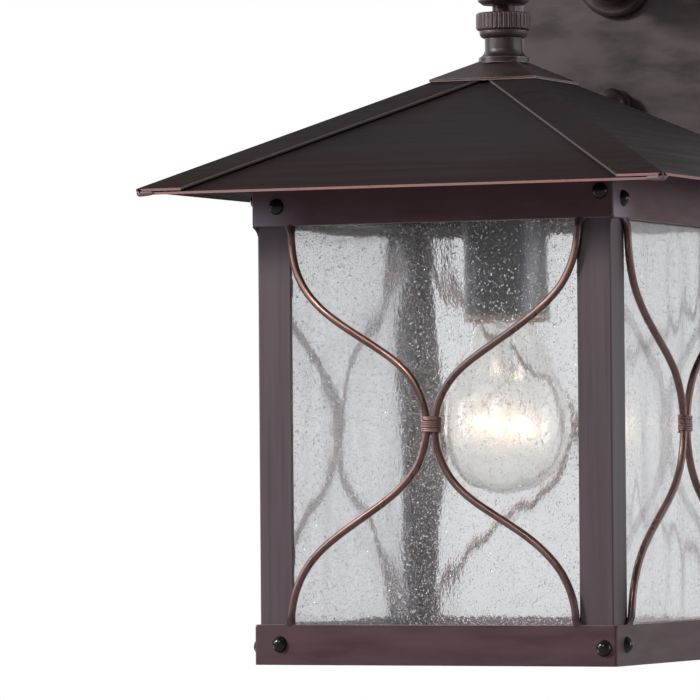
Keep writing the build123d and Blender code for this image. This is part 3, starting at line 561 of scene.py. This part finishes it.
def lathe(profile, steps=96, centre=(0.0, 0.0)):
    """profile: closed list of (radius, height) in mm, lantern frame; on-axis points
    are merged."""
    verts, faces, rows = [], [], []
    for r, z in profile:
        if r < 1e-6:
            rows.append([len(verts)] * steps)
            verts.append(P(centre[0], centre[1], z))
        else:
            row = []
            for k in range(steps):
                a = 2 * math.pi * k / steps
                row.append(len(verts))
                verts.append(P(centre[0] + r * math.cos(a), centre[1] + r * math.sin(a), z))
            rows.append(row)
    for i in range(len(rows) - 1):
        p, q = rows[i], rows[i + 1]
        for k in range(steps):
            l = (k + 1) % steps
            f = [p[k], p[l], q[l], q[k]]
            f = [v for n_, v in enumerate(f) if v not in f[:n_]]
            if len(f) > 2:
                faces.append(tuple(f))
    return verts, faces


def spline_through(points, per=8):
    """Catmull-Rom points through 2-D points."""
    out = []
    pts = [points[0]] + list(points) + [points[-1]]
    for i in range(1, len(pts) - 2):
        p0, p1, p2, p3 = pts[i - 1], pts[i], pts[i + 1], pts[i + 2]
        for s in range(per):
            u = s / per
            out.append(tuple(0.5 * (2 * b + (c - a) * u + (2 * a - 5 * b + 4 * c - d) * u * u
                                    + (3 * b - a - 3 * c + d) * u ** 3)
                             for a, b, c, d in zip(p0, p1, p2, p3)))
    out.append(tuple(points[-1]))
    return out


# ---------------------------------------------------------------------------
# CAD pieces that keep their shape, and their finishes
# ---------------------------------------------------------------------------
def dress(name, mat, slot=None, width=0.0, angle=28.0):
    o = nodes[name]
    if len(o.material_slots) == 0:
        o.data.materials.append(mat)
    for s in o.material_slots:
        s.link = "OBJECT"
        s.material = mat
    if width > 0:
        b = o.modifiers.new("ease", "BEVEL")
        b.width = width * MM
        b.segments = 2
        b.limit_method = "ANGLE"
        b.angle_limit = math.radians(angle)
        b.harden_normals = False
    return o


for s in DIRS:
    dress(f"roof_{s}", roof_mats[s])
dress("roof_cap", plain_mat)
dress("collar", collar_mats["x"])
dress("bottom_rail", rail_mat)
for c in ("front_left", "front_right", "rear_left", "rear_right"):
    dress(f"post_{c}", post_mat)
for n in ("collar_rivets", "rail_rivets"):
    dress(n, rivet_mat)
for n in ("arm_tube", "arm_coupling", "arm_flange", "lock_ring", "cap_nut_upper", "cap_nut_lower",
          "backplate", "bridge", "glass_tabs"):
    dress(n, plain_mat)
dress("socket_cup", cup_mat)
dress("socket_body", porcelain_mat)
for n in ("socket_shell", "centre_contact", "terminal_screws"):
    dress(n, brass_mat)
dress("bulb_base", alu_mat)
dress("bulb_insulator", vitrite_mat)
dress("bulb_contact", solder_mat)
dress("bulb_leads", nickel_mat)
dress("bulb_stem", stem_glass_mat)
for n in ("stem_nuts", "arm_nut", "mounting_bracket", "bracket_studs"):
    dress(n, zinc_mat)
dress("stem", stem_mat)
dress("wall_gasket", foam_mat)
dress("ground_screw", green_mat)


# ---------------------------------------------------------------------------
# Glass panes: lightly wavy slabs with real bubbles
# ---------------------------------------------------------------------------
def ico(sub):
    bm = bmesh.new()
    bmesh.ops.create_icosphere(bm, subdivisions=sub, radius=1.0)
    v = [x.co.copy() for x in bm.verts]
    f = [tuple(x.index for x in face.verts) for face in bm.faces]
    bm.free()
    return v, f


TINY, SMALL, LARGE = ico(1), ico(2), ico(3)
PANE_FACE, PANE_T, PANE_W = 82.8, 3.0, 77.5
PANE_LOW, PANE_HIGH = -104.5, 95.0


def pane(side, k, seed):
    rng = random.Random(seed)
    q = math.radians(90 * k)

    def at(along, out, z):
        return P(along * math.cos(q) + out * math.sin(q), along * math.sin(q) - out * math.cos(q), z)
    nx, nz = 62, 80
    verts, faces = [], []
    off = Vector((seed * 3.1, seed * 1.7, 0.0))

    def wave(x, z, layer):
        v = Vector((x * 0.085, z * 0.017, layer * 9.0)) + off
        w = Vector((x * 0.24, z * 0.06, layer * 5.0 + 3.0)) + off
        return 0.27 * noise.noise(v) + 0.03 * noise.noise(w)
    for layer, out in ((0, PANE_FACE - 0.3), (1, PANE_FACE - PANE_T + 0.3)):
        for j in range(nz + 1):
            for i in range(nx + 1):
                x = -PANE_W + 2 * PANE_W * i / nx
                z = PANE_LOW + (PANE_HIGH - PANE_LOW) * j / nz
                verts.append(at(x, out + wave(x, z, layer), z))
    row = nx + 1
    base = row * (nz + 1)
    for j in range(nz):
        for i in range(nx):
            a = j * row + i
            faces.append((a, a + 1, a + row + 1, a + row))
            faces.append((base + a, base + a + row, base + a + row + 1, base + a + 1))
    for i in range(nx):
        faces.append((i + 1, i, base + i, base + i + 1))
        a = nz * row + i
        faces.append((a, a + 1, base + a + 1, base + a))
    for j in range(nz):
        a = j * row
        faces.append((a, a + row, base + a + row, base + a))
        a = j * row + nx
        faces.append((a + row, a, base + a, base + a + row))
    for n_seed in range(5600):
        if n_seed < 5000:
            r, (shape, fs) = rng.uniform(0.19, 0.36), TINY
        elif n_seed < 5570:
            r, (shape, fs) = rng.uniform(0.34, 0.46), SMALL
        else:
            r, (shape, fs) = rng.uniform(0.46, 0.52), LARGE
        x = rng.uniform(-PANE_W + 2, PANE_W - 2)
        z = rng.uniform(PANE_LOW + 2, PANE_HIGH - 2)
        out = PANE_FACE - rng.uniform(1.1, PANE_T - 1.1)
        long = rng.choice((1.0, 1.0, 1.1, 1.25, 1.6))
        tilt = rng.gauss(0.0, 0.12)
        start = len(verts)
        for v in shape:
            dx, dz = v.x * r, v.z * r * long
            dx, dz = dx * math.cos(tilt) - dz * math.sin(tilt), dx * math.sin(tilt) + dz * math.cos(tilt)
            verts.append(at(x + dx, out + v.y * r * 0.9, z + dz))
        faces += [tuple(start + n_ for n_ in reversed(f)) for f in fs]
    return make_object(f"seeded_pane_{side}", verts, faces, pane_mats[side], "lantern",
                       (f"glass_{side}",))


for k, side in enumerate(("front", "right", "rear", "left")):
    pane(side, k, 11 + k)


# ---------------------------------------------------------------------------
# Bent wires: one smooth bend from rail to collar, brazed at both ends
# ---------------------------------------------------------------------------
# (distance from the middle, height) of each wire's centre line, from end to knot
FRONT_LEFT_UP = [(67.61, 89.5), (67.46, 83.0), (66.77, 76.0), (65.35, 70.0), (63.32, 65.0), (60.31, 60.0),
                 (56.13, 55.0), (50.57, 50.0), (43.57, 45.0), (35.65, 40.0), (27.48, 35.0), (19.83, 30.0),
                 (13.67, 25.0), (9.33, 20.0), (6.38, 15.0), (4.25, 10.0), (2.75, 5.0)]
FRONT_RIGHT_UP = [(70.53, 89.5), (70.17, 83.0), (69.01, 76.0), (67.16, 70.0), (64.88, 65.0), (61.69, 60.0),
                  (57.13, 55.0), (51.34, 50.0), (44.59, 45.0), (37.15, 40.0), (29.30, 35.0), (21.54, 30.0),
                  (14.70, 25.0), (9.55, 20.0), (5.99, 15.0), (3.63, 10.0), (2.25, 5.0)]
FRONT_LEFT_DOWN = [(69.05, 88.5), (68.67, 83.0), (67.23, 76.0), (64.96, 70.0), (62.23, 65.0), (58.53, 60.0),
                   (53.57, 55.0), (47.24, 50.0), (39.94, 45.0), (32.16, 40.0), (24.49, 35.0), (17.78, 30.0),
                   (12.29, 25.0), (8.17, 20.0), (5.46, 15.0), (3.80, 10.0), (2.6, 5.0)]
FRONT_RIGHT_DOWN = [(67.78, 88.5), (67.62, 83.0), (66.11, 76.0), (63.75, 70.0), (60.87, 65.0), (56.92, 60.0),
                    (51.78, 55.0), (45.39, 50.0), (37.73, 45.0), (29.52, 40.0), (21.56, 35.0), (14.90, 30.0),
                    (9.95, 25.0), (6.55, 20.0), (4.16, 15.0), (2.55, 10.0), (1.85, 5.0)]
SIDE_UP = [((a[0] + b[0]) / 2, a[1]) for a, b in zip(FRONT_LEFT_UP, FRONT_RIGHT_UP)]
SIDE_DOWN = [((a[0] + b[0]) / 2, a[1]) for a, b in zip(FRONT_LEFT_DOWN, FRONT_RIGHT_DOWN)]
WIRE_R = 1.72


def bent_wire(side, k, s, name, node, up_pts, down_pts):
    q = math.radians(90 * k)

    def at(along, out, z):
        return P(along * math.cos(q) + out * math.sin(q), along * math.sin(q) - out * math.cos(q), z)
    line = spline_through([(x, z) for x, z in up_pts] + [(1.9, 0.0)] + [(x, -z) for x, z in reversed(down_pts)], 9)
    line = [(line[0][0], line[0][1] + 0.7)] + line
    line = line + [(line[-1][0], line[-1][1] - 0.7)]
    sides = 18
    verts, faces = [], []
    n = len(line)
    for i, (x, z) in enumerate(line):
        a, b = line[max(0, i - 1)], line[min(n - 1, i + 1)]
        tx, tz = b[0] - a[0], b[1] - a[1]
        L = math.hypot(tx, tz)
        nx, nz = -tz / L, tx / L            # points away from the middle of the side
        end = abs(z - 0.5)                  # distance from mid height, 89 at either edge
        flat = min(1.0, max(0.0, (end - 85.0) / 4.6))
        flat = flat * flat * (3 - 2 * flat)
        tall, wide = (6.0, 2.7) if s < 0 else (3.4, 2.5)
        u = min(1.0, max(0.0, (end - (89.0 - tall)) / tall))
        web = wide * u ** 2.6
        deep = WIRE_R - 0.35 * flat
        out = 85.0 + WIRE_R - 1.06 * flat
        for j in range(sides):
            a = 2 * math.pi * j / sides
            c, sn = math.cos(a), math.sin(a)
            w = WIRE_R + (web if c > 0 else 0.0)
            verts.append(at(s * (x + nx * w * c), out + deep * sn, z + nz * w * c))
    for i in range(n - 1):
        for j in range(sides):
            l = (j + 1) % sides
            f = (i * sides + j, i * sides + l, (i + 1) * sides + l, (i + 1) * sides + j)
            faces.append(f if s > 0 else tuple(reversed(f)))
    cap = tuple(range(sides))
    tail = tuple((n - 1) * sides + j for j in range(sides))
    faces.append(tuple(reversed(cap)) if s > 0 else cap)
    faces.append(tail if s > 0 else tuple(reversed(tail)))
    o = make_object(name, verts, faces, wire_mat, "lantern", (node,))
    bm = bmesh.new()
    bm.from_mesh(o.data)
    bmesh.ops.recalc_face_normals(bm, faces=bm.faces)
    bm.to_mesh(o.data)
    bm.free()


ENDS = {"front": ("left", "right"), "right": ("front", "rear"), "rear": ("right", "left"),
        "left": ("rear", "front")}
for k, side in enumerate(("front", "right", "rear", "left")):
    for s, end in zip((-1, 1), ENDS[side]):
        if side == "front":
            shapes = (FRONT_LEFT_UP, FRONT_LEFT_DOWN) if s < 0 else (FRONT_RIGHT_UP, FRONT_RIGHT_DOWN)
        else:
            shapes = (SIDE_UP, SIDE_DOWN)
        bent_wire(side, k, s, f"bent_wire_{side}_{end}", f"scroll_{side}_{end}", *shapes)

# braze that softens the step under each corner of the collar
verts, faces = [], []
for k in range(4):
    q = math.radians(90 * k)
    rows = []
    for i in range(8):
        u = i / 7
        z = 89.6 - 4.2 * u
        o_, e_ = 1.9 * (1 - u) ** 2.0, 0.1 + 0.9 * (1 - u)
        ring = [(-85 - o_, -85 - o_), (-85 + e_, -85 - 0.02), (-84.6, -84.6), (-85 - 0.02, -85 + e_)]
        start = len(verts)
        for x, y in ring:
            verts.append(P(x * math.cos(q) - y * math.sin(q), x * math.sin(q) + y * math.cos(q), z))
        rows.append(start)
    for a, b in zip(rows, rows[1:]):
        for j in range(4):
            l = (j + 1) % 4
            faces.append((a + j, b + j, b + l, a + l))
    faces.append(tuple(rows[0] + j for j in range(4)))
    faces.append(tuple(rows[-1] + j for j in (3, 2, 1, 0)))
braze = make_object("collar_braze", verts, faces, post_mat, "lantern")
bm = bmesh.new()
bm.from_mesh(braze.data)
bmesh.ops.recalc_face_normals(bm, faces=bm.faces)
bm.to_mesh(braze.data)
bm.free()

# braze that closes each corner of the eaves, where the flange ends over the next sheet
for name, sx, sy in (("front_left", -1, -1), ("front_right", 1, -1), ("rear_right", 1, 1), ("rear_left", -1, 1)):
    line = [(-117.6, -124.5, 104.05), (-120.8, -124.6, 104.0), (-123.2, -124.5, 104.05),
            (-124.35, -124.2, 104.1), (-124.6, -123.0, 104.3), (-124.65, -121.5, 104.6), (-124.7, -119.6, 105.0)]
    pts = [P(-sx * x, -sy * y, z) for x, y, z in spline_through(line, 6)]
    v, f = tube(pts, 1.5 * MM, 16, taper=lambda u: 0.42 + 0.58 * math.sin(math.pi * min(1.0, max(0.0, u))) ** 0.6)
    o = make_object(f"corner_braze_{name}", v, f, braze_mat, "lantern")
    bm = bmesh.new()
    bm.from_mesh(o.data)
    bmesh.ops.recalc_face_normals(bm, faces=bm.faces)
    bm.to_mesh(o.data)
    bm.free()

# ---------------------------------------------------------------------------
# Wire wraps: seven turns round both wires
# ---------------------------------------------------------------------------
def wrap(side, k):
    rng = random.Random(70 + k)
    q = math.radians(90 * k)
    turns, pitch, r = 7, 1.2, 0.55

    def at(along, out, z):
        return P(along * math.cos(q) + out * math.sin(q), along * math.sin(q) - out * math.cos(q), z)
    half_sep, reach = 2.0, 1.72 + r - 0.04
    pts = []
    per = 36
    lean = rng.uniform(-0.15, 0.15)
    total = turns * per
    height = (turns - 1) * pitch
    for i in range(total + 1):
        u = i / per
        a = 2 * math.pi * u - math.pi * 0.7
        c, s = math.cos(a), math.sin(a)
        x = half_sep * max(-1.0, min(1.0, 1.6 * c)) + reach * c
        y = reach * s
        grow = 1.0 + 0.03 * math.sin(5.1 * u + k)
        z = -height / 2 + height * i / total + 0.10 * math.sin(a * 0.5 + 0.7 * u) + lean * c
        pts.append(at(x * grow, 86.72 + y * grow * 1.02, z))
    v, f = tube(pts, r * MM, 10)
    make_object(f"wire_wrap_{side}", v, f, wrap_mat, "lantern", (f"wrap_{side}",))


for k, side in enumerate(("front", "right", "rear", "left")):
    wrap(side, k)

# ---------------------------------------------------------------------------
# Bulb: blown glass, lit filament
# ---------------------------------------------------------------------------
outer_line = [(12.4, 56.8), (12.4, 54.6), (13.3, 50.4), (15.4, 44.0), (18.7, 34.5), (23.6, 23.5),
              (28.2, 11.5), (30.0, -1.0)]
prof = spline_through(outer_line, 7)
for i in range(1, 25):
    a = math.pi / 2 * i / 24
    prof.append((30.0 * math.cos(a), -1.0 - 30.0 * math.sin(a)))
prof[-1] = (0.0, -31.0)
inner_prof = []
for i, (r, z) in enumerate(prof):
    a = prof[max(0, i - 1)]
    b = prof[min(len(prof) - 1, i + 1)]
    dr, dz = b[0] - a[0], b[1] - a[1]
    L = math.hypot(dr, dz)
    inner_prof.append((max(0.0, r + dz / L * 0.7), z - dr / L * 0.7))
inner_prof[0] = (11.7, 56.8)
inner_prof[-1] = (0.0, -30.3)
closed = prof + list(reversed(inner_prof)) + [prof[0]]
v, f = lathe(closed, 112)
bulb = make_object("bulb_envelope", v, f, bulb_mat, "bulb", ("bulb_glass",))
bm = bmesh.new()
bm.from_mesh(bulb.data)
bmesh.ops.remove_doubles(bm, verts=bm.verts, dist=1e-6)
bmesh.ops.recalc_face_normals(bm, faces=bm.faces)
bm.to_mesh(bulb.data)
bm.free()

# the coil hangs from the two leads in a shallow arc, wider near its ends
pts = []
N = 900
for i in range(N + 1):
    u = i / N
    x = -11.7 + 23.4 * u
    sag = 1.9 * (1 - (2 * u - 1) ** 2)
    ends = math.exp(-((abs(2 * u - 1) - 0.62) / 0.26) ** 2)
    r = 0.35 + 0.75 * ends
    a = 2 * math.pi * 46 * u
    pts.append(P(x, r * math.cos(a), 2.6 - sag + r * math.sin(a)))
v, f = tube(pts, 0.16 * MM, 6)
make_object("lit_filament", v, f, hot_mat, "bulb", ("filament",))

# ---------------------------------------------------------------------------
# Stage and light
# ---------------------------------------------------------------------------
mesh = bpy.data.meshes.new("floor")
ring = [(130.0 * math.cos(2 * math.pi * i / 96), 130.0 * math.sin(2 * math.pi * i / 96), -6.0)
        for i in range(96)]
mesh.from_pydata(ring, [], [tuple(range(96))])
floor = bpy.data.objects.new("floor", mesh)
scene.collection.objects.link(floor)
t = Tree("floor_pale")
g = t.noise(3.0, 3.0, 0.5)
sh = t.principled(t.ramp(g, ((0.3, (0.80, 0.80, 0.80)), (0.7, (0.84, 0.84, 0.84)))), 0.9,
                  **{"Emission Color": (1.0, 1.0, 1.0, 1.0), "Emission Strength": 0.16})
paper = t.principled(t.ramp(g, ((0.3, (0.80, 0.80, 0.80)), (0.7, (0.84, 0.84, 0.84)))), 0.9,
                     **{"Emission Color": (1.0, 1.0, 1.0, 1.0), "Emission Strength": 0.5})
path = t.add("ShaderNodeLightPath")
both = t.add("ShaderNodeMixShader")
t.link(path.outputs["Is Camera Ray"], both.inputs[0])
t.link(sh.outputs[0], both.inputs[1])
t.link(paper.outputs[0], both.inputs[2])
mesh.materials.append(t.finish(both.outputs[0]))

world = bpy.data.worlds.new("studio")
scene.world = world
world.use_nodes = True
wt = world.node_tree
wt.nodes.clear()
wo = wt.nodes.new("ShaderNodeOutputWorld")
bg_seen = wt.nodes.new("ShaderNodeBackground")
bg_seen.inputs["Color"].default_value = (1, 1, 1, 1)
bg_seen.inputs["Strength"].default_value = 1.0
bg_light = wt.nodes.new("ShaderNodeBackground")
bg_light.inputs["Strength"].default_value = 1.0
wc = wt.nodes.new("ShaderNodeTexCoord")
sep = wt.nodes.new("ShaderNodeSeparateXYZ")
wt.links.new(wc.outputs["Generated"], sep.inputs[0])


def wmath(op, a, b):
    n = wt.nodes.new("ShaderNodeMath")
    n.operation = op
    for sock, v in zip(n.inputs, (a, b)):
        if isinstance(v, bpy.types.NodeSocket):
            wt.links.new(v, sock)
        else:
            sock.default_value = v
    return n.outputs[0]


def wstep(value, lo, hi, a, b):
    n = wt.nodes.new("ShaderNodeMapRange")
    n.interpolation_type = "SMOOTHSTEP"
    wt.links.new(value, n.inputs["Value"])
    for k, v in (("From Min", lo), ("From Max", hi), ("To Min", a), ("To Max", b)):
        n.inputs[k].default_value = v
    return n.outputs["Result"]


# a lit backdrop behind, a dim studio in front, two bright flats beside the backdrop
back = wstep(sep.outputs["Y"], -0.35, 0.55, 0.12, 0.86)
low = wstep(sep.outputs["Z"], 0.05, 0.8, 1.0, 0.55)
flats = wmath("MULTIPLY", wstep(wmath("ABSOLUTE", sep.outputs["X"], 0.0), 0.62, 0.78, 0.0, 1.0),
              wstep(sep.outputs["Y"], 0.15, 0.4, 0.0, 1.6))
level = wmath("ADD", wmath("MULTIPLY", back, low), flats)
comb = wt.nodes.new("ShaderNodeCombineColor")
for k in (0, 1):
    wt.links.new(level, comb.inputs[k])
wt.links.new(wmath("MULTIPLY", level, 1.015), comb.inputs[2])
wt.links.new(comb.outputs[0], bg_light.inputs["Color"])
lp = wt.nodes.new("ShaderNodeLightPath")
wm = wt.nodes.new("ShaderNodeMixShader")
wt.links.new(lp.outputs["Is Camera Ray"], wm.inputs[0])
wt.links.new(bg_light.outputs[0], wm.inputs[1])
wt.links.new(bg_seen.outputs[0], wm.inputs[2])
wt.links.new(wm.outputs[0], wo.inputs["Surface"])


def area(name, at, target, size, power, color=(1, 1, 1)):
    d = bpy.data.lights.new(name, "AREA")
    d.shape = "RECTANGLE"
    d.size, d.size_y = size
    d.energy = power
    d.color = color
    o = bpy.data.objects.new(name, d)
    scene.collection.objects.link(o)
    o.location = at
    o.rotation_mode = "QUATERNION"
    o.rotation_quaternion = (Vector(target) - Vector(at)).to_track_quat("-Z", "Y")
    return o


mid = (0.0, -0.155, -0.2)


def toward(d, dist):
    v = Vector(d).normalized() * dist
    return (mid[0] + v.x, mid[1] + v.y, mid[2] + v.z)


area("key_softbox", toward((-0.62, -0.62, 0.47), 2.3), mid, (0.38, 0.38), 48.0, (1.0, 0.985, 0.97))
area("front_strip", toward((0.0, -0.87, 0.46), 2.4), mid, (0.25, 0.25), 11.0, (1.0, 0.99, 0.98))
area("left_softbox", toward((-0.85, -0.52, 0.22), 2.4), mid, (0.8, 0.6), 17.0, (0.90, 0.94, 1.0))
area("right_strip", toward((0.98, 0.10, 0.06), 2.4), mid, (0.35, 1.1), 9.0, (0.92, 0.96, 1.0))


def lamp(name, at, radius, power, color):
    d = bpy.data.lights.new(name, "POINT")
    d.shadow_soft_size = radius
    d.energy = power
    d.color = color
    o = bpy.data.objects.new(name, d)
    scene.collection.objects.link(o)
    o.location = at


lamp("filament_glow_left", P(-12.0, 0.0, 1.7), 2.6 * MM, 0.013, (1.0, 0.77, 0.50))
lamp("filament_glow_right", P(9.2, 0.0, -0.8), 3.0 * MM, 0.013, (1.0, 0.77, 0.50))

scene.view_settings.view_transform = "Standard"
scene.view_settings.look = "None"
scene.cycles.max_bounces = 24
scene.cycles.transmission_bounces = 24
scene.cycles.transparent_max_bounces = 24
scene.cycles.glossy_bounces = 6
scene.cycles.diffuse_bounces = 3
scene.cycles.sample_clamp_indirect = 6.0
scene.cycles.caustics_refractive = True
scene.cycles.caustics_reflective = True
scene.cycles.blur_glossy = 0.3
